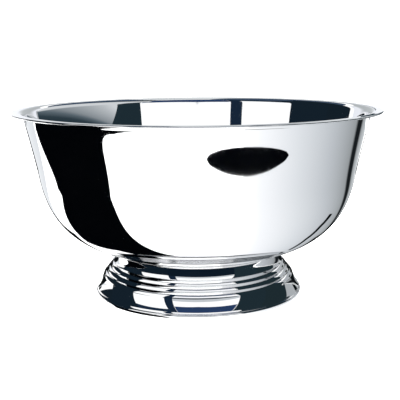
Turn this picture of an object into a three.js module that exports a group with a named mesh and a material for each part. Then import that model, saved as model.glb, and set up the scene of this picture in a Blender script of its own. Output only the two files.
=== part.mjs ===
// Footed punch bowl in polished stainless steel: a deep-drawn bowl with a flared, hemmed lip,
// standing on a hollow spun foot that is brazed to its underside.
// Millimetres, +Z up, origin at the centre of the foot's resting face.
import * as THREE from 'three';

// Driving dimensions
const rimRadius = 197;        // outside of the lip
const bowlHeight = 200;       // floor to the top of the lip
const sheet = 1.0;            // sheet thickness of both shells
const touchGap = 0.3;         // clearance between touching pieces
const turns = 60;             // facets round each piece

// Bowl, all on its outside surface
const throatRadius = 184.1;   // narrowest place under the lip
const throatZ = 194.8;
const throatLean = THREE.MathUtils.degToRad(12.9);
const waistRadius = 169.9;    // where the side wall turns into the rounded bottom
const waistZ = 130.5;
const waistLean = THREE.MathUtils.degToRad(10.1);
const bottomZ = 43.8;         // underside of the bowl's flat centre
const bottomFlatRadius = 39.4;
const bottomPull = 89.4;      // roundness of the bottom and of the side wall
const waistPull = 52.6;
const wallPull = 20.3;
const throatPull = 16.4;
const hemWidth = 4.4;         // sheet folded back under the lip
const hemThickness = 2 * sheet;

// Foot, all on its outside surface
const neckTopRadius = 90.2;             // neck under its rolled top edge
const footLipRoll = 1.0;                // the rolled edge lies against the bowl
const neckFoot = [92.9, 34.9];          // lower end of the neck
const neckTopLean = [0.05, -1];         // nearly upright at the top, splayed at the foot
const neckFootLean = [0.47, -0.88];
const neckTopPull = 5;
const neckFootPull = 3.5;
const beadCount = 3;
const skirtTop = [105.0, 19.3];         // lower end of the beads
const beadRise = 1.1;                   // how far each bead stands out of its chord
const skirtEnd = [111.6, 6.8];
const skirtHollow = 0.7;                // how far the skirt falls in from its chord
const baseRadius = 113.3;               // widest part of the base edge
const baseRoll = 2.9;                   // radius of the rolled base edge
const baseRollStart = 62;               // degrees, where the roll leaves the skirt
const restInner = 107.6;                // edge turned inward as a flat resting face

// Brazed joint inside the foot's top
const brazeOuter = 88.7;
const brazeInner = 83.7;
const brazeDepth = 2.0;                 // at its inner edge
const brazeEdge = 0.7;                  // at its outer edge

const v = (r, z) => new THREE.Vector2(r, z);

// Points of a cubic from start to end, leaving and arriving along the given directions
function sweep(start, startDir, startPull, end, endDir, endPull, count) {
  const curve = new THREE.CubicBezierCurve(
    start,
    start.clone().addScaledVector(startDir, startPull),
    end.clone().addScaledVector(endDir, -endPull),
    end,
  );
  return curve.getPoints(count);
}

// Points of an arc about a centre, angles in degrees
function arc(centreR, centreZ, radius, fromDeg, toDeg, count) {
  const points = [];
  for (let i = 0; i <= count; i += 1) {
    const angle = THREE.MathUtils.degToRad(fromDeg + ((toDeg - fromDeg) * i) / count);
    points.push(v(centreR + radius * Math.cos(angle), centreZ + radius * Math.sin(angle)));
  }
  return points;
}

// The arc that bulges by rise to the left of the way from one point to the other
function bulge(from, to, rise, count) {
  const chord = to.clone().sub(from);
  const half = chord.length() / 2;
  const radius = (half * half + rise * rise) / (2 * rise);
  const left = v(-chord.y, chord.x).normalize();
  const centre = from.clone().add(to).multiplyScalar(0.5).addScaledVector(left, rise - radius);
  const first = from.clone().sub(centre);
  const sweepAngle = -2 * Math.asin(half / radius);
  const points = [];
  for (let i = 0; i <= count; i += 1) {
    points.push(first.clone().rotateAround(v(0, 0), (sweepAngle * i) / count).add(centre));
  }
  return points;
}

// Drops repeated neighbours from a run of points
function clean(points) {
  return points.filter((p, i) => i === 0 || p.distanceTo(points[i - 1]) > 1e-4);
}

// The same run moved sideways by distance, to the left of its way
function offset(points, distance) {
  return points.map((p, i) => {
    const before = points[Math.max(i - 1, 0)];
    const after = points[Math.min(i + 1, points.length - 1)];
    const along = after.clone().sub(before).normalize();
    return v(p.x - along.y * distance, p.y + along.x * distance);
  });
}

// Turns a closed profile of (radius, height) about Z
function turned(name, profile, material) {
  const geometry = new THREE.LatheGeometry(profile, turns);
  geometry.rotateX(Math.PI / 2);
  const mesh = new THREE.Mesh(geometry, material);
  mesh.name = name;
  return mesh;
}

// Outside of the bowl from the axis, out along the bottom and up to the start of the lip
function bowlOutside() {
  const bottomEdge = v(bottomFlatRadius, bottomZ);
  const wallFoot = v(waistRadius, waistZ);
  const throat = v(throatRadius, throatZ);
  const wallFootUp = v(Math.sin(waistLean), Math.cos(waistLean));
  const throatUp = v(Math.sin(throatLean), Math.cos(throatLean));
  return clean([
    v(0, bottomZ),
    ...sweep(bottomEdge, v(1, 0), bottomPull, wallFoot, wallFootUp, waistPull, 13),
    ...sweep(wallFoot, wallFootUp, wallPull, throat, throatUp, throatPull, 5),
  ]);
}

// Sheet that rises from the bottom, flares over the throat and is folded under at the edge
function bowlProfile() {
  const outside = bowlOutside();
  const inside = offset(outside, sheet).slice(1, -1).reverse();
  const lean = THREE.MathUtils.radToDeg(throatLean);
  const lipUnderZ = bowlHeight - sheet;
  const flare = (lipUnderZ - throatZ) / (1 - Math.sin(throatLean));
  const flareR = throatRadius + flare * Math.cos(throatLean);
  const edgeR = rimRadius - hemThickness / 2;
  const hemR = rimRadius - hemWidth;
  const hemZ = bowlHeight - hemThickness;
  return clean([
    ...outside,
    ...arc(flareR, lipUnderZ - flare, flare, 180 - lean, 90, 5),
    v(hemR, lipUnderZ),
    v(hemR, hemZ),
    ...arc(edgeR, bowlHeight - hemThickness / 2, hemThickness / 2, -90, 90, 6),
    ...arc(flareR, lipUnderZ - flare, flare + sheet, 90, 180 - lean, 5),
    ...inside,
    v(0, bottomZ + sheet),
  ]);
}

// Height of the bowl's outside at a radius
function bowlUnderZ(radius) {
  const outside = bowlOutside();
  const next = outside.findIndex((p) => p.x >= radius);
  const a = outside[next - 1];
  const b = outside[next];
  return a.y + ((b.y - a.y) * (radius - a.x)) / (b.x - a.x);
}

// Centre of the foot's rolled top edge, one gap below the bowl
function footLipZ() {
  const slope = Math.atan(bowlUnderZ(neckTopRadius + 1) - bowlUnderZ(neckTopRadius));
  return bowlUnderZ(neckTopRadius) - (footLipRoll + touchGap) / Math.cos(slope);
}

// Outside of the foot from under its rolled top edge down to the rolled base edge
function footOutside() {
  const points = sweep(v(neckTopRadius, footLipZ() - footLipRoll), v(...neckTopLean).normalize(),
    neckTopPull, v(...neckFoot), v(...neckFootLean).normalize(), neckFootPull, 8);
  const top = v(...neckFoot);
  const end = v(...skirtTop);
  for (let i = 0; i < beadCount; i += 1) {
    const from = top.clone().lerp(end, i / beadCount);
    const to = top.clone().lerp(end, (i + 1) / beadCount);
    points.push(...bulge(from, to, beadRise, 3));
  }
  points.push(...bulge(end, v(...skirtEnd), -skirtHollow, 4));
  return clean(points);
}

// Hollow stepped foot: rolled lip, neck, beads, skirt and rolled base edge
function footProfile() {
  const outside = footOutside();
  const inside = offset(outside, -sheet).reverse();
  const baseCentreR = baseRadius - baseRoll;
  return clean([
    ...outside,
    ...arc(baseCentreR, baseRoll, baseRoll, baseRollStart, -90, 6),
    v(restInner, 0),
    v(restInner, sheet),
    ...arc(baseCentreR, baseRoll, baseRoll - sheet, -90, baseRollStart, 4),
    ...inside,
    ...arc(neckTopRadius, footLipZ(), footLipRoll, 180, -75, 5),
  ]).reverse();
}

// Ring of brazing metal in the wedge between the foot's top and the bowl
function brazeProfile() {
  const outerTop = bowlUnderZ(brazeOuter) - touchGap;
  const innerTop = bowlUnderZ(brazeInner) - touchGap;
  return [
    v(brazeInner, innerTop - brazeDepth),
    v(brazeOuter, outerTop - brazeEdge),
    v(brazeOuter, outerTop),
    v(brazeInner, innerTop),
  ];
}

const polished = new THREE.MeshStandardMaterial({ color: 0xc9ccd0, roughness: 0.06, metalness: 1 });
const brazed = new THREE.MeshStandardMaterial({ color: 0xb9b3a4, roughness: 0.45, metalness: 1 });

function closed(profile) {
  return [...profile, profile[0].clone()];
}

const bowl = new THREE.Group();
bowl.add(turned('bowl_shell', bowlProfile(), polished));
bowl.add(turned('foot_shell', closed(footProfile()), polished));
bowl.add(turned('braze_ring', closed(brazeProfile()), brazed));

export default bowl;
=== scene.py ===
import math

import bmesh
import bpy
from mathutils import Matrix, Vector
from mathutils.geometry import interpolate_bezier


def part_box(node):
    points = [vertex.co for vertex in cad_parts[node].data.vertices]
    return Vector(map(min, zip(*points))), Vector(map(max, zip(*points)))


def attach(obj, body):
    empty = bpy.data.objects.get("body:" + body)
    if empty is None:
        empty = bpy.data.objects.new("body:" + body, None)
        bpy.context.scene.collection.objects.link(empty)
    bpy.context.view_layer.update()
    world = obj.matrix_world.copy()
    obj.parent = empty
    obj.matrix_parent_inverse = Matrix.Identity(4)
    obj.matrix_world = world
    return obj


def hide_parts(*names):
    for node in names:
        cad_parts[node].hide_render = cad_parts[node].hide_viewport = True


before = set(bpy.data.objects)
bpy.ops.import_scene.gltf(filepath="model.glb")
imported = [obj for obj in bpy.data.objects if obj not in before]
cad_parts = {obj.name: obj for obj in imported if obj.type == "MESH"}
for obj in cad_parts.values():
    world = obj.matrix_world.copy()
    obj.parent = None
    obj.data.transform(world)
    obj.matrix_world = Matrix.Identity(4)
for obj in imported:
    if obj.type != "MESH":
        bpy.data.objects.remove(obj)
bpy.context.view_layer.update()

scene = bpy.context.scene
mm = 0.001
fullTurn = 2 * math.pi


def linearColour(hexColour):
    channels = [int(hexColour[i:i + 2], 16) / 255 for i in (1, 3, 5)]
    return [c / 12.92 if c <= 0.04045 else ((c + 0.055) / 1.055) ** 2.4 for c in channels] + [1.0]


def addNode(tree, kind, settings=None, links=None):
    node = tree.nodes.new(kind)
    for key, value in (settings or {}).items():
        if isinstance(key, str) and hasattr(node, key):
            setattr(node, key, value)
        else:
            node.inputs[key].default_value = value
    for key, output in (links or {}).items():
        tree.links.new(output, node.inputs[key])
    return node


def newMaterial(name):
    material = bpy.data.materials.new(name)
    material.use_nodes = True
    material.node_tree.nodes.clear()
    return material, material.node_tree


def setStops(ramp, stops):
    elements = ramp.color_ramp.elements
    while len(elements) < len(stops):
        elements.new(0.5)
    for element, (place, colour) in zip(elements, stops):
        element.position = place
        element.color = linearColour(colour) if isinstance(colour, str) else (colour,) * 3 + (1.0,)


# Mirror-polished stainless: sheet buffed round and round after spinning. The eye gets a bright, almost
# clear mirror whose reflections bend a little, with a faint haze that runs in rings.
polishedSteel = {
    "colour": "#DADBDC",
    "roughness": (0.012, 0.035),     # clear mirror to light buffing haze
    "wavePitch": 70 * mm,            # spinning leaves slow waves in the wall
    "waveHeight": 0.05 * mm,
    "ringPitch": 2.2 * mm,           # real buffing lines are 0.1 mm apart, drawn coarser so they show
    "ringHeight": 0.0006 * mm,
    "hazePatch": 45 * mm,            # wiped and handled areas
    "scratchWidth": 1.2 * mm,        # hairlines, drawn wider than life
    "scratchLength": 45 * mm,
    "scratchTurns": (0.5, 2.1),      # two crossing sets
    "scratchLevel": (0.68, 0.80),    # most of the surface is left clear
    "scratchRoughness": 0.05,
    "ringRoughness": 0.03,
    "wornBand": (0.3 * mm, 1.6 * mm),  # height over which the scuffing of the resting edge fades
    "palerColour": "#D8D9DB",
}


def polishedStainless(name, settings, restWear=0.0):
    material, tree = newMaterial(name)
    place = addNode(tree, "ShaderNodeTexCoord").outputs["Object"]
    parts = addNode(tree, "ShaderNodeSeparateXYZ", links={0: place})
    flat = addNode(tree, "ShaderNodeCombineXYZ", links={"X": parts.outputs["X"], "Y": parts.outputs["Y"]})
    radius = addNode(tree, "ShaderNodeVectorMath", {"operation": "LENGTH"}, {0: flat.outputs[0]})
    rings = addNode(tree, "ShaderNodeCombineXYZ",
                    links={"X": radius.outputs["Value"], "Y": parts.outputs["Z"]})
    ringLines = addNode(tree, "ShaderNodeTexNoise",
                        {"Scale": 1 / settings["ringPitch"], "Detail": 3.0, "Roughness": 0.6},
                        {"Vector": rings.outputs[0]})
    haze = addNode(tree, "ShaderNodeTexNoise",
                   {"Scale": 1 / settings["hazePatch"], "Detail": 4.0, "Roughness": 0.55}, {"Vector": place})
    waves = addNode(tree, "ShaderNodeTexNoise",
                    {"Scale": 1 / settings["wavePitch"], "Detail": 0.0}, {"Vector": place})

    hairlines = []
    clear, full = settings["scratchLevel"]
    across, along = 1 / settings["scratchWidth"], 1 / settings["scratchLength"]
    for turn in settings["scratchTurns"]:
        squeeze = addNode(tree, "ShaderNodeMapping",
                          {"Rotation": (0.3, turn, 0.9 * turn), "Scale": (across, along, along)},
                          {"Vector": place})
        streaks = addNode(tree, "ShaderNodeTexNoise", {"Scale": 1.0, "Detail": 2.0},
                          {"Vector": squeeze.outputs[0]})
        thin = addNode(tree, "ShaderNodeMapRange", {"From Min": clear, "From Max": full},
                       {"Value": streaks.outputs["Fac"]})
        hairlines.append(thin.outputs[0])
    scratches = addNode(tree, "ShaderNodeMath", {"operation": "MAXIMUM"}, {0: hairlines[0], 1: hairlines[1]})

    low, high = settings["roughness"]
    hazeRough = addNode(tree, "ShaderNodeMapRange",
                        {"From Min": 0.3, "From Max": 0.7, "To Min": low, "To Max": high},
                        {"Value": haze.outputs["Fac"]})
    ringRange = settings["ringRoughness"]
    ringRough = addNode(tree, "ShaderNodeMath",
                        {"operation": "MULTIPLY_ADD", 1: ringRange, 2: -ringRange / 2},
                        {0: ringLines.outputs["Fac"]})
    scratchRough = addNode(tree, "ShaderNodeMath",
                           {"operation": "MULTIPLY_ADD", 1: settings["scratchRoughness"]},
                           {0: scratches.outputs[0], 2: ringRough.outputs[0]})
    rough = addNode(tree, "ShaderNodeMath", {"operation": "ADD", "use_clamp": True},
                    {0: hazeRough.outputs[0], 1: scratchRough.outputs[0]})
    roughness = rough.outputs[0]
    if restWear:
        # the resting edge is scuffed dull by tables
        wornFrom, wornTo = settings["wornBand"]
        worn = addNode(tree, "ShaderNodeMapRange",
                       {"From Min": wornFrom, "From Max": wornTo, "To Min": restWear, "To Max": 0.0},
                       {"Value": parts.outputs["Z"]})
        roughness = addNode(tree, "ShaderNodeMath", {"operation": "ADD", "use_clamp": True},
                            {0: roughness, 1: worn.outputs[0]}).outputs[0]

    tint = addNode(tree, "ShaderNodeMix", {"data_type": "RGBA", "blend_type": "MIX"},
                   {"Factor": haze.outputs["Fac"]})
    tint.inputs["A"].default_value = linearColour(settings["palerColour"])
    tint.inputs["B"].default_value = linearColour(settings["colour"])

    waveBump = addNode(tree, "ShaderNodeBump", {"Distance": settings["waveHeight"], "Strength": 1.0},
                       {"Height": waves.outputs["Fac"]})
    ringBump = addNode(tree, "ShaderNodeBump", {"Distance": settings["ringHeight"], "Strength": 1.0},
                       {"Height": ringLines.outputs["Fac"], "Normal": waveBump.outputs[0]})
    shader = addNode(tree, "ShaderNodeBsdfPrincipled", {"Metallic": 1.0},
                     {"Base Color": tint.outputs["Result"], "Roughness": roughness,
                      "Normal": ringBump.outputs[0]})
    addNode(tree, "ShaderNodeOutputMaterial", links={"Surface": shader.outputs[0]})
    return material


# Spun stainless left as it came off the lathe: the hollow of the foot. Satin grey with close rings, their low
# grooves given a darker painted shade.
spunSteel = {"colour": "#B4B6B8", "paintedGrooveShade": "#A6A8AB", "roughness": (0.28, 0.42),
             "ringPitch": 1.6 * mm, "ringHeight": 0.02 * mm}


def spunStainless(name, settings):
    material, tree = newMaterial(name)
    place = addNode(tree, "ShaderNodeTexCoord").outputs["Object"]
    parts = addNode(tree, "ShaderNodeSeparateXYZ", links={0: place})
    flat = addNode(tree, "ShaderNodeCombineXYZ", links={"X": parts.outputs["X"], "Y": parts.outputs["Y"]})
    radius = addNode(tree, "ShaderNodeVectorMath", {"operation": "LENGTH"}, {0: flat.outputs[0]})
    rings = addNode(tree, "ShaderNodeCombineXYZ",
                    links={"X": radius.outputs["Value"], "Y": parts.outputs["Z"]})
    lines = addNode(tree, "ShaderNodeTexNoise", {"Scale": 1 / settings["ringPitch"], "Detail": 4.0},
                    {"Vector": rings.outputs[0]})
    low, high = settings["roughness"]
    rough = addNode(tree, "ShaderNodeMapRange", {"To Min": low, "To Max": high},
                    {"Value": lines.outputs["Fac"]})
    # painted shade: the colour darkens where the ring bump sinks into its grooves
    shade = addNode(tree, "ShaderNodeValToRGB", links={"Fac": lines.outputs["Fac"]})
    setStops(shade, [(0.35, settings["paintedGrooveShade"]), (0.65, settings["colour"])])
    bump = addNode(tree, "ShaderNodeBump", {"Distance": settings["ringHeight"], "Strength": 1.0},
                   {"Height": lines.outputs["Fac"]})
    shader = addNode(tree, "ShaderNodeBsdfPrincipled", {"Metallic": 1.0},
                     {"Base Color": shade.outputs["Color"], "Roughness": rough.outputs[0],
                      "Normal": bump.outputs[0]})
    addNode(tree, "ShaderNodeOutputMaterial", links={"Surface": shader.outputs[0]})
    return material


# Silver brazing alloy, melted into the joint and pickled: pale yellowish metal with a soft, flowed skin
# and darker flux stains.
brazeAlloy = {"colour": "#CBBF9C", "stain": "#7C6F58", "roughness": (0.32, 0.55),
              "flowSize": 3 * mm, "flowHeight": 0.12 * mm, "stainSize": 14 * mm}


def silverBraze(name, settings):
    material, tree = newMaterial(name)
    place = addNode(tree, "ShaderNodeTexCoord").outputs["Object"]
    flow = addNode(tree, "ShaderNodeTexNoise", {"Scale": 1 / settings["flowSize"], "Detail": 2.0},
                   {"Vector": place})
    stains = addNode(tree, "ShaderNodeTexNoise", {"Scale": 1 / settings["stainSize"], "Detail": 5.0},
                     {"Vector": place})
    shade = addNode(tree, "ShaderNodeValToRGB", links={"Fac": stains.outputs["Fac"]})
    setStops(shade, [(0.38, settings["stain"]), (0.58, settings["colour"])])
    low, high = settings["roughness"]
    rough = addNode(tree, "ShaderNodeMapRange", {"To Min": high, "To Max": low},
                    {"Value": stains.outputs["Fac"]})
    bump = addNode(tree, "ShaderNodeBump", {"Distance": settings["flowHeight"], "Strength": 1.0},
                   {"Height": flow.outputs["Fac"]})
    shader = addNode(tree, "ShaderNodeBsdfPrincipled", {"Metallic": 1.0},
                     {"Base Color": shade.outputs["Color"], "Roughness": rough.outputs[0],
                      "Normal": bump.outputs[0]})
    addNode(tree, "ShaderNodeOutputMaterial", links={"Surface": shader.outputs[0]})
    return material


bowlSteel = polishedStainless("mirrorPolishedStainlessBowl", polishedSteel)
footSteel = polishedStainless("mirrorPolishedStainlessFoot", polishedSteel, restWear=0.3)
footInside = spunStainless("spunStainlessFootHollow", spunSteel)
brazeMetal = silverBraze("flowedSilverBraze", brazeAlloy)
print("materials made")


# Profiles are drawn as curves in the XZ plane, in millimetres, and turned about Z.


# Unit step that leans outward from straight up.
def aim(degreesFromVertical):
    lean = math.radians(degreesFromVertical)
    return Vector((math.sin(lean), math.cos(lean)))


# One point of a profile in millimetres, with its handles before and after.
class Knot:
    def __init__(self, r, z, way=None, before=0.0, after=0.0):
        self.at = Vector((r, z))
        self.way = Vector(way).normalized() if way is not None else Vector((0, 0))
        self.before = before
        self.after = after


# Knots of an arc about a centre, one for each 90 degrees or less.
def arcKnots(centre, radius, startDeg, endDeg):
    turn = math.radians(endDeg - startDeg)
    count = max(1, math.ceil(abs(turn) / (math.pi / 2) - 1e-6))
    pull = 4 / 3 * math.tan(abs(turn) / count / 4) * radius
    knots = []
    for i in range(count + 1):
        angle = math.radians(startDeg) + turn * i / count
        side = math.copysign(1, turn)
        way = (-math.sin(angle) * side, math.cos(angle) * side)
        knots.append(Knot(centre[0] + radius * math.cos(angle), centre[1] + radius * math.sin(angle), way,
                          pull if i else 0.0, pull if i < count else 0.0))
    return knots


def drawRun(curve, knots, steps):
    spline = curve.splines.new("BEZIER")
    spline.bezier_points.add(len(knots) - 1)
    spline.resolution_u = steps
    for point, knot in zip(spline.bezier_points, knots):
        point.handle_left_type = point.handle_right_type = "FREE"
        at, way = knot.at * mm, knot.way * mm
        point.co = (at.x, 0, at.y)
        left, right = at - way * knot.before, at + way * knot.after
        point.handle_left = (left.x, 0, left.y)
        point.handle_right = (right.x, 0, right.y)


mergeGap = 0.002 * mm


# Spins the drawn runs into one closed shell about Z.
def turnedShell(name, runs, turns, material):
    bm = bmesh.new()
    for run in runs:
        curve = bpy.data.curves.new(name + "Profile", "CURVE")
        curve.dimensions = "3D"
        drawRun(curve, run["knots"], run["steps"])
        drawn = bpy.data.objects.new(name + "Profile", curve)
        scene.collection.objects.link(drawn)
        bm.from_mesh(drawn.to_mesh())
        drawn.to_mesh_clear()
        bpy.data.objects.remove(drawn)
        bpy.data.curves.remove(curve)
    bmesh.ops.remove_doubles(bm, verts=bm.verts, dist=mergeGap)
    bmesh.ops.spin(bm, geom=bm.verts[:] + bm.edges[:], cent=(0, 0, 0), axis=(0, 0, 1),
                   angle=fullTurn, steps=turns, use_merge=True)
    bmesh.ops.remove_doubles(bm, verts=bm.verts, dist=mergeGap)
    bmesh.ops.dissolve_degenerate(bm, edges=bm.edges, dist=mergeGap / 4)
    bmesh.ops.recalc_face_normals(bm, faces=bm.faces)
    for face in bm.faces:
        face.smooth = True
    mesh = bpy.data.meshes.new(name)
    bm.to_mesh(mesh)
    bm.free()
    mesh.materials.append(material)
    piece = bpy.data.objects.new(name, mesh)
    scene.collection.objects.link(piece)
    return piece


def finishPiece(piece, node):
    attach(piece, "root")
    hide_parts(node)
    tris = sum(len(p.vertices) - 2 for p in piece.data.polygons)
    print(piece.name, "made,", tris, "triangles")


bowl = {
    "sheet": 1.0,
    "rimRadius": 197.0, "height": 200.0,
    "throat": (184.1, 194.8), "throatLean": 12.9,
    "waist": (169.9, 130.5), "waistLean": 10.1,
    "bottomEdge": (39.4, 43.8),
    "pulls": (89.4, 52.6, 20.3, 16.4),     # roundness of the bottom and of the side wall
    "hemWidth": 4.4,                       # sheet folded back under the lip
    "hemEdge": 0.3,                        # small round where the folded sheet ends
    "innerPullLess": 0.7,                  # the inside bends a little tighter
    "wallSteps": 60, "lipSteps": 10, "turns": 288,
}


def bowlRuns(b):
    sheet = b["sheet"]
    throat, waist, edge = (Vector(b[k]) for k in ("throat", "waist", "bottomEdge"))
    up, out = aim(b["throatLean"]), aim(b["waistLean"])
    lipUnder = b["height"] - sheet
    flare = (lipUnder - throat.y) / (1 - math.sin(math.radians(b["throatLean"])))
    flareCentre = (throat.x + flare * math.cos(math.radians(b["throatLean"])), lipUnder - flare)
    rollCentre = (b["rimRadius"] - sheet, b["height"] - sheet)
    hemStart, hemEdge = b["rimRadius"] - b["hemWidth"], b["hemEdge"]
    hemUnder = lipUnder - sheet
    less = b["innerPullLess"]
    bottomPull, waistPull, wallPull, throatPull = b["pulls"]
    flareFrom = 180 - b["throatLean"]
    inThroat = throat - Vector((up.y, -up.x)) * sheet
    inWaist = waist - Vector((out.y, -out.x)) * sheet
    return [
        {"steps": 2, "knots": [Knot(0, edge.y), Knot(*edge)]},
        {"steps": b["wallSteps"], "knots": [Knot(*edge, (1, 0), 0, bottomPull),
                                            Knot(*waist, out, waistPull, wallPull),
                                            Knot(*throat, up, throatPull, 0)]},
        {"steps": b["lipSteps"], "knots": arcKnots(flareCentre, flare, flareFrom, 90)},
        {"steps": 3, "knots": [Knot(flareCentre[0], lipUnder), Knot(hemStart, lipUnder)]},
        {"steps": 3, "knots": [Knot(hemStart, lipUnder), Knot(hemStart, hemUnder + hemEdge)]},
        {"steps": 3, "knots": arcKnots((hemStart + hemEdge, hemUnder + hemEdge), hemEdge, 180, 270)},
        {"steps": 3, "knots": [Knot(hemStart + hemEdge, hemUnder), Knot(rollCentre[0], hemUnder)]},
        {"steps": 6, "knots": arcKnots(rollCentre, sheet, -90, 90)},
        {"steps": 4, "knots": [Knot(rollCentre[0], b["height"]), Knot(flareCentre[0], b["height"])]},
        {"steps": b["lipSteps"], "knots": arcKnots(flareCentre, flare + sheet, 90, flareFrom)},
        {"steps": b["wallSteps"], "knots": [Knot(*inThroat, -up, 0, throatPull),
                                            Knot(*inWaist, -out, wallPull, waistPull - less),
                                            Knot(edge.x, edge.y + sheet, (-1, 0), bottomPull - less, 0)]},
        {"steps": 2, "knots": [Knot(edge.x, edge.y + sheet), Knot(0, edge.y + sheet)]},
    ]


bowlShell = turnedShell("bowlShell", bowlRuns(bowl), bowl["turns"], bowlSteel)
finishPiece(bowlShell, "bowl_shell")

foot = {
    "sheet": 1.0,
    "lip": (90.2, 47.36), "lipRoll": 1.0,          # rolled top edge that lies against the bowl
    "neck": (92.9, 34.9), "neckPulls": (5.0, 3.5),
    "neckTopWay": (0.17, -1), "neckFootWay": (0.47, -0.88),
    "beads": 3, "skirtTop": (105.0, 19.3), "beadRise": 0.75,
    "skirtEnd": (111.6, 6.8), "skirtHollow": -0.7,
    "baseRadius": 113.3, "baseRoll": 2.9, "baseRollStart": 62, "restInner": 107.6,
    "neckSteps": 40, "beadSteps": 14, "turns": 288,
}


# Arc that stands out of the straight line between two points by rise.
def bulgeArc(start, end, rise):
    chord = end - start
    half = chord.length / 2
    radius = (half * half + rise * rise) / (2 * rise)
    outward = Vector((-chord.y, chord.x)).normalized()
    centre = (start + end) / 2 + outward * (rise - radius)
    first, last = start - centre, end - centre
    if rise < 0:
        radius = -radius
    angles = [math.degrees(math.atan2(p.y, p.x)) for p in (first, last)]
    if angles[1] - angles[0] > 180:
        angles[1] -= 360
    if angles[0] - angles[1] > 180:
        angles[1] += 360
    return arcKnots(centre, radius, *angles)


def inset(point, way, depth):
    return point + Vector((way.y, -way.x)) * depth


def footRuns(f):
    sheet = f["sheet"]
    neck, skirtTop, skirtEnd = (Vector(f[k]) for k in ("neck", "skirtTop", "skirtEnd"))
    topWay, footWay = Vector(f["neckTopWay"]).normalized(), Vector(f["neckFootWay"]).normalized()
    lipCentre = Vector(f["lip"])
    neckTop = lipCentre + Vector((0, -f["lipRoll"]))
    baseCentre = (f["baseRadius"] - f["baseRoll"], f["baseRoll"])
    pullTop, pullFoot = f["neckPulls"]
    runs = [{"steps": f["neckSteps"], "knots": [Knot(*neckTop, topWay, 0, pullTop),
                                                Knot(*neck, footWay, pullFoot, 0)]}]
    marks = [neck.lerp(skirtTop, i / f["beads"]) for i in range(f["beads"] + 1)]
    for a, b in zip(marks, marks[1:]):
        runs.append({"steps": f["beadSteps"], "knots": bulgeArc(a, b, f["beadRise"])})
    skirt = bulgeArc(skirtTop, skirtEnd, f["skirtHollow"])
    base = arcKnots(baseCentre, f["baseRoll"], f["baseRollStart"], -90)
    runs.append({"steps": 24, "knots": skirt})
    runs.append({"steps": 1, "knots": [Knot(*skirtEnd), Knot(*base[0].at)]})
    runs.append({"steps": 10, "knots": base})
    rest = [Vector((baseCentre[0], 0)), Vector((f["restInner"], 0)), Vector((f["restInner"], sheet)),
            Vector((baseCentre[0], sheet))]
    for a, b in zip(rest, rest[1:]):
        runs.append({"steps": 2, "knots": [Knot(*a), Knot(*b)]})
    innerBase = arcKnots(baseCentre, f["baseRoll"] - sheet, -90, f["baseRollStart"])
    runs.append({"steps": 6, "knots": innerBase})
    # the hollow side follows the outside one sheet further in
    skirtWay = (skirtEnd - skirtTop).normalized()
    inSkirtEnd = inset(skirtEnd, skirtWay, sheet)
    inSkirtTop = inset(skirtTop, skirtWay, sheet)
    inNeck = inset(neck, footWay, sheet)
    inNeckTop = inset(neckTop, topWay, sheet)
    runs.append({"steps": 1, "knots": [Knot(*innerBase[-1].at), Knot(*inSkirtEnd)]})
    runs.append({"steps": 16, "knots": bulgeArc(inSkirtTop, inSkirtEnd, f["skirtHollow"])})
    inMarks = [inNeck.lerp(inSkirtTop, i / f["beads"]) for i in range(f["beads"] + 1)]
    for a, b in zip(inMarks, inMarks[1:]):
        runs.append({"steps": f["beadSteps"], "knots": bulgeArc(a, b, f["beadRise"])})
    runs.append({"steps": f["neckSteps"], "knots": [Knot(*inNeckTop, topWay, 0, pullTop),
                                                    Knot(*inNeck, footWay, pullFoot, 0)]})
    lipRoll = arcKnots(lipCentre, f["lipRoll"], 180, -90)
    runs.append({"steps": 1, "knots": [Knot(*inNeckTop), Knot(*lipRoll[0].at)]})
    runs.append({"steps": 10, "knots": lipRoll})
    return runs


footShell = turnedShell("footShell", footRuns(foot), foot["turns"], footSteel)
footShell.data.materials.append(footInside)
hollowTop = (foot["lip"][1] - foot["lipRoll"]) * mm
for face in footShell.data.polygons:
    outward = Vector((face.center.x, face.center.y, 0)).normalized()
    if face.center.z < hollowTop and face.normal.dot(outward) < -0.02:
        face.material_index = 1
finishPiece(footShell, "foot_shell")

braze = {"outer": 88.7, "inner": 83.7, "edge": 0.7, "rise": 0.93, "turns": 192}
brazeLow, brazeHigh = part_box("braze_ring")


def brazeRuns(b, top, bottom):
    innerTop, outerTop = top - b["rise"], top
    corners = [Vector((b["inner"], bottom)), Vector((b["outer"], outerTop - b["edge"])),
               Vector((b["outer"], outerTop)), Vector((b["inner"], innerTop))]
    corners.append(corners[0])
    return [{"steps": 4, "knots": [Knot(*p), Knot(*q)]} for p, q in zip(corners, corners[1:])]


brazeRing = turnedShell("brazeRing", brazeRuns(braze, brazeHigh.z / mm, brazeLow.z / mm), braze["turns"],
                        brazeMetal)
finishPiece(brazeRing, "braze_ring")

studio = {"white": 1.5, "floorShare": 0.75, "floorSize": 14.0,
          "topSize": (2.4, 1.8), "topWatts": 40, "topPlace": (0, 0.2, 2.3)}


def litMaterial(name, colour, strength):
    material, tree = newMaterial(name)
    glow = addNode(tree, "ShaderNodeEmission", {"Color": linearColour(colour), "Strength": strength})
    addNode(tree, "ShaderNodeOutputMaterial", links={"Surface": glow.outputs[0]})
    return material


def outlined(name, corners, material):
    bm = bmesh.new()
    bm.faces.new([bm.verts.new(c) for c in corners])
    bmesh.ops.triangulate(bm, faces=bm.faces)
    mesh = bpy.data.meshes.new(name)
    bm.to_mesh(mesh)
    bm.free()
    mesh.materials.append(material)
    card = bpy.data.objects.new(name, mesh)
    scene.collection.objects.link(card)
    return card


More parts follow.
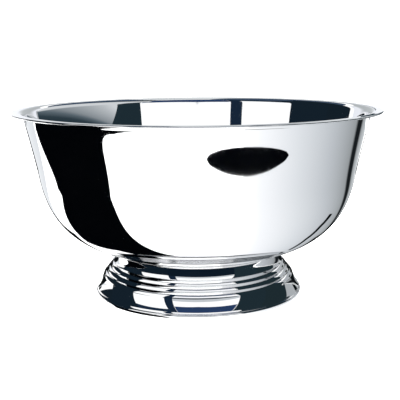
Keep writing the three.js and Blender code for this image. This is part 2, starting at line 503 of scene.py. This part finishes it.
# light table: white all over and lit from inside, so that hardly any shadow shows
floorMaterial, tree = newMaterial("whiteLightTable")
table = addNode(tree, "ShaderNodeBsdfPrincipled",
                {"Base Color": linearColour("#F4F4F2"), "Roughness": 0.6,
                 "Emission Color": linearColour("#FFFFFF"),
                 "Emission Strength": studio["white"] * studio["floorShare"]})
addNode(tree, "ShaderNodeOutputMaterial", links={"Surface": table.outputs[0]})
half = studio["floorSize"] / 2
floor = outlined("floor", [(-half, -half, 0), (half, -half, 0), (half, half, 0), (-half, half, 0)],
                 floorMaterial)

# Glowing cards and flags that only the polished metal sees: painted reflections, not lamps. Colours are
# what the metal shows; the strength makes up for what it soaks up.
cardStrength = 1.39
cardLift = 1.0 * mm      # the first card's height over the floor
cardStep = 0.1 * mm      # each later one lies this much higher
fanLift = 0.5 * mm
bentSteps = 12


def hideFromCamera(shape):
    shape.visible_camera = False
    shape.visible_diffuse = False
    shape.visible_shadow = False
    shape.visible_transmission = False


# Corners along a bent edge on the floor, from start to end, pulled towards the two points between.
def bent(start, startPull, endPull, end):
    points = interpolate_bezier(Vector(start), Vector(startPull), Vector(endPull), Vector(end), bentSteps)
    return [(point.x, point.y, 0) for point in points]


# Corners of an upright card between two points on the floor.
def standing(start, end, low, high):
    return [(*start, low), (*end, low), (*end, high), (*start, high)]


# painted dark reflection, a lens where two white tables part in front: an arc round the bowl that swells in
# the middle
lens = {"from": 4.8, "to": 52.5, "radius": 0.4275, "widen": 0.033, "half": 0.026, "steps": 28}


def lensOutline(a):
    far, near = [], []
    for i in range(a["steps"] + 1):
        t = i / a["steps"]
        turn = math.radians(a["from"] + (a["to"] - a["from"]) * t)
        middle = a["radius"] + a["widen"] * t ** 2.5
        half = a["half"] * math.sqrt(math.sin(math.pi * t)) if 0 < i < a["steps"] else 0
        far.append(((middle + half) * math.sin(turn), -(middle + half) * math.cos(turn), 0))
        if half:
            near.append(((middle - half) * math.sin(turn), -(middle - half) * math.cos(turn), 0))
    return far + near[::-1]


cards = [
    {"name": "greyBehind", "colour": "#DDE0E3",
     "corners": [(-0.16, 0.1, 0), (0.16, 0.1, 0), (0.6, 1.3, 0), (-1.3, 1.3, 0), (-0.95, 0.6, 0)]},
    # painted dark reflection of the studio past the left edge of the white table, and under the front of it
    {"name": "darkLeft", "colour": "#020305",
     "corners": (bent((-0.71, 0.417), (-0.565, 0.285), (-0.5, 0.05), (-0.39, 0.038))
                 + [(-0.16, 0.02, 0), (-0.11, -0.06, 0)]
                 + bent((-0.023, -0.109), (-0.09, -0.11), (-0.18, -0.212), (-0.365, -0.275))
                 + bent((-0.365, -0.275), (-0.42, -0.295), (-0.41, -0.325), (-0.37, -0.354))[1:]
                 + bent((-0.37, -0.354), (-0.32, -0.41), (-0.25, -0.445), (-0.167, -0.476))[1:]
                 + [(-0.2, -0.79, 0), (-0.65, -0.79, 0), (-1.58, -0.32, 0), (-1.5, 0.6, 0)])},
    {"name": "darkFront", "colour": "#0B121A",
     "corners": (bent((-0.167, -0.477), (-0.05, -0.52), (0.2, -0.52), (0.36, -0.42))
                 + [(0.6, -0.5, 0), (0.86, -0.79, 0), (-0.2, -0.79, 0)])},
    {"name": "darkLens", "colour": "#040508", "corners": lensOutline(lens)},
    {"name": "darkUnderFront", "colour": "#0E1A26",
     "corners": standing((-0.65, -0.79), (0.86, -0.79), 0, 0.22)},
    {"name": "darkUnderLeft", "colour": "#101C26",
     "corners": standing((-0.65, -0.79), (-1.58, -0.32), 0, 0.2)},
    {"name": "greyUnderFront", "colour": "#C4C8CC",
     "corners": standing((-0.43, -0.79), (0.85, -0.79), 0.22, 0.34)},
    {"name": "navyAboveFront", "colour": "#283C5F",
     "corners": [(-0.43, -0.8, 0.65), (0.0, -0.8, 0.59), (0.4, -0.8, 0.66), (0.85, -0.8, 0.74),
                 (0.85, -0.8, 2.4), (-0.43, -0.8, 2.4)]},
    {"name": "navyGap", "colour": "#182638", "corners": standing((-0.43, -0.79), (-0.62, -0.79), 0.2, 2.4)},
    {"name": "navyAboveLeft", "colour": "#1C2C3E",
     "corners": standing((-0.62, -0.79), (-1.58, -0.32), 0.95, 2.6)},
    {"name": "navyLeft", "colour": "#14202A", "corners": standing((-1.58, -0.32), (-1.5, 0.7), 0, 2.6)},
    {"name": "navyLeftBack", "colour": "#141F28", "corners": standing((-1.5, 0.7), (-0.86, 1.15), 0.16, 2.6)},
    {"name": "stripLeftBack", "colour": "#0A1012", "corners": standing((-0.79, 0.95), (-0.7, 1.01), 0, 0.2)},
    {"name": "greenRight", "colour": "#1E2C33", "corners": standing((0.86, -0.79), (1.25, -0.17), 0, 2.4)},
    {"name": "greenRightBack", "colour": "#1E2B30", "corners": standing((1.25, -0.17), (1.2, 0.62), 0, 2.4)},
    {"name": "greyRightBack", "colour": "#A9ADB0", "corners": standing((1.2, 0.62), (0.6, 1.3), 0, 0.5)},
    {"name": "stripRightBack", "colour": "#0A1012", "corners": standing((0.76, 0.97), (0.88, 0.88), 0, 0.2)},
    {"name": "greyAbove", "colour": "#D5D8DA",
     "corners": [(-0.25, -0.8, 2.5), (0.75, -0.8, 2.5), (0.75, 0.1, 2.5), (0.12, 0.25, 2.5),
                 (0.2, 2.2, 2.5), (-0.25, 2.2, 2.5)]},
    {"name": "slateAboveLeft", "colour": "#3E4D60",
     "corners": [(-4.0, -0.8, 2.5), (-0.25, -0.8, 2.5), (-0.25, 3.5, 2.5), (-4.0, 3.5, 2.5)]},
    {"name": "slateAboveBack", "colour": "#3E4D60",
     "corners": [(0.75, 0.1, 2.5), (4.0, 0.1, 2.5), (4.0, 3.5, 2.5), (0.2, 3.5, 2.5), (0.12, 0.25, 2.5)]},
    {"name": "darkAboveRight", "colour": "#3C4446",
     "corners": [(0.75, -0.8, 2.5), (4.0, -0.8, 2.5), (4.0, 0.1, 2.5), (0.75, 0.1, 2.5)]},
    # floor flags close behind, seen only in the metal: a painted dark reflection that draws the dark line
    # round the silhouette
    {"name": "blackBehindLeft", "colour": "#0A0E10",
     "corners": [(-0.1, 0.05, 0), (-0.235, 0.6, 0), (-0.42, 0.6, 0), (-0.19, 0.05, 0)]},
    {"name": "blackBehindRight", "colour": "#0A0E10",
     "corners": [(0.1, 0.05, 0), (0.235, 0.6, 0), (0.40, 0.6, 0), (0.17, 0.05, 0)]},
    {"name": "flagBehindLeft", "colour": "#0A0E10", "corners": standing((-0.27, 0.6), (-0.45, 0.6), 0, 0.11)},
    {"name": "flagBehindRight", "colour": "#0A0E10", "corners": standing((0.27, 0.6), (0.43, 0.6), 0, 0.11)},
    # painted dark reflection: a thin dark sliver on the floor to the right
    {"name": "sliverRight", "colour": "#0A0E10",
     "corners": [(0.12, -0.014, 0), (0.16, -0.02, 0), (0.21, -0.006, 0), (0.27, 0.032, 0),
                 (0.27, 0.06, 0), (0.21, 0.014, 0), (0.16, -0.004, 0), (0.12, 0.0, 0)]},
]
for lift, card in enumerate(cards):
    corners = [(x, y, max(z, cardLift + cardStep * lift)) for x, y, z in card["corners"]]
    hideFromCamera(outlined(card["name"], corners,
                            litMaterial(card["name"] + "Card", card["colour"], cardStrength)))

# Painted shadow of the bowl on the table, seen only in the metal: the table's light falls off round the right
# side, from white in front to mid grey at the back, with a painted dark band short of the back. A low card
# beside the bowl paints shade upward from dark to grey, for the inside of the left wall.
fallOff = {"from": 25, "to": 145, "reach": 1.1, "strength": 1.67,
           "stops": [(0.0, "#FFFFFF"), (0.08, "#EBECEE"), (0.3, "#CED1D4"), (0.525, "#AFB3B7"),
                     (0.755, "#888C8E"), (0.785, "#14181A"), (0.845, "#14181A"), (0.875, "#8E9294"),
                     (1.0, "#B8BCBE")]}
# painted reflection for the inside of the left wall: a glowing card seen only in the metal, dark low down and
# grey higher up
sideGlow = {"away": 0.33, "tilt": 0.03, "low": 0.291, "high": 0.351,
            "outline": [(0.8, 0.262), (0.5, 0.262), (0.5, 0.22), (0.07, 0.22), (0.07, 0.355), (0.05, 0.38),
                        (0.0, 0.415), (-0.06, 0.445), (-0.12, 0.475), (-0.22, 0.51), (-0.32, 0.54),
                        (-0.32, 0.75), (0.8, 0.75)],
            "stops": [(0.0, "#26343B"), (0.15, "#2E3C44"), (0.28, "#58646C"), (0.38, "#868D92"),
                      (0.5, "#989EA2"), (0.8, "#B9BDC0"), (1.0, "#D0D3D5")]}

# painted reflection, seen only in the metal: what the flat of the lip looks at, low over the back of the
# table: grey in the middle, pale at the ends
lipBack = {"y": 1.3, "left": -0.8, "right": 0.62, "top": 0.85, "low": 0.22, "high": 0.5,
           "stops": [(0.0, "#AEB2B4"), (0.45, "#C2C5C8"), (1.0, "#E9EBF1")]}


def placeParts(tree):
    place = addNode(tree, "ShaderNodeTexCoord").outputs["Object"]
    return addNode(tree, "ShaderNodeSeparateXYZ", links={0: place}).outputs


def angleRound(tree):
    parts = placeParts(tree)
    front = addNode(tree, "ShaderNodeMath", {"operation": "MULTIPLY", 1: -1.0}, {0: parts["Y"]})
    return addNode(tree, "ShaderNodeMath", {"operation": "ARCTAN2"}, {0: parts["X"], 1: front.outputs[0]})


def fromMiddle(tree):
    return addNode(tree, "ShaderNodeMath", {"operation": "ABSOLUTE"}, {0: placeParts(tree)["X"]})


def heightTilted(tree):
    parts = placeParts(tree)
    return addNode(tree, "ShaderNodeMath", {"operation": "MULTIPLY_ADD", 1: sideGlow["tilt"]},
                   {0: parts["Y"], 2: parts["Z"]})


# Emission that runs through the stops as the measured place goes from low to high.
def shadedMaterial(name, stops, measure, low, high, strength):
    material, tree = newMaterial(name)
    share = addNode(tree, "ShaderNodeMapRange", {"From Min": low, "From Max": high},
                    {"Value": measure(tree).outputs[0]})
    shade = addNode(tree, "ShaderNodeValToRGB", links={"Fac": share.outputs[0]})
    setStops(shade, stops)
    glow = addNode(tree, "ShaderNodeEmission", {"Strength": strength}, {"Color": shade.outputs["Color"]})
    addNode(tree, "ShaderNodeOutputMaterial", links={"Surface": glow.outputs[0]})
    return material


fan = [(0, 0, fanLift)]
for degrees in range(fallOff["from"], fallOff["to"] + 1, 10):
    turn = math.radians(degrees)
    fan.append((fallOff["reach"] * math.sin(turn), -fallOff["reach"] * math.cos(turn), fanLift))
hideFromCamera(outlined("fallOffRight", fan, shadedMaterial(
    "fallOffRightCard", fallOff["stops"], angleRound,
    math.radians(fallOff["from"]), math.radians(fallOff["to"]), fallOff["strength"])))
hideFromCamera(outlined(
    "sideGlow", [(sideGlow["away"], y, z) for y, z in sideGlow["outline"]],
    shadedMaterial("sideGlowCard", sideGlow["stops"], heightTilted,
                   sideGlow["low"], sideGlow["high"], cardStrength)))
hideFromCamera(outlined(
    "lipBack", standing((lipBack["left"], lipBack["y"]), (lipBack["right"], lipBack["y"]), 0, lipBack["top"]),
    shadedMaterial("lipBackCard", lipBack["stops"], fromMiddle, lipBack["low"], lipBack["high"],
                   cardStrength)))
print("studio cards placed:", len(cards) + 3)

world = bpy.data.worlds.new("whiteStudio")
scene.world = world
world.use_nodes = True
world.node_tree.nodes.clear()
air = addNode(world.node_tree, "ShaderNodeBackground",
              {"Color": linearColour("#FFFFFF"), "Strength": studio["white"]})
addNode(world.node_tree, "ShaderNodeOutputWorld", links={"Surface": air.outputs[0]})

softTop = bpy.data.lights.new("softTop", "AREA")
softTop.shape = "RECTANGLE"
softTop.size, softTop.size_y = studio["topSize"]
softTop.energy = studio["topWatts"]
softTopObject = bpy.data.objects.new("softTop", softTop)
softTopObject.location = studio["topPlace"]
softTopObject.visible_glossy = False
scene.collection.objects.link(softTopObject)

view = {"back": 0.9062, "height": 0.2697, "side": 0.0026, "pitch": 10.62, "roll": -0.4, "lens": 75.5}
camera = bpy.data.cameras.new("camera")
camera.lens = view["lens"]
camera.sensor_width = 36.0
camera.clip_start = 0.05
camera.clip_end = 40.0
cameraObject = bpy.data.objects.new("camera", camera)
cameraObject.matrix_world = (Matrix.Translation((view["side"], -view["back"], view["height"]))
                             @ Matrix.Rotation(math.radians(90 - view["pitch"]), 4, "X")
                             @ Matrix.Rotation(math.radians(view["roll"]), 4, "Z"))
scene.collection.objects.link(cameraObject)
scene.camera = cameraObject
scene.view_settings.view_transform = "Standard"
print("camera and lights set")
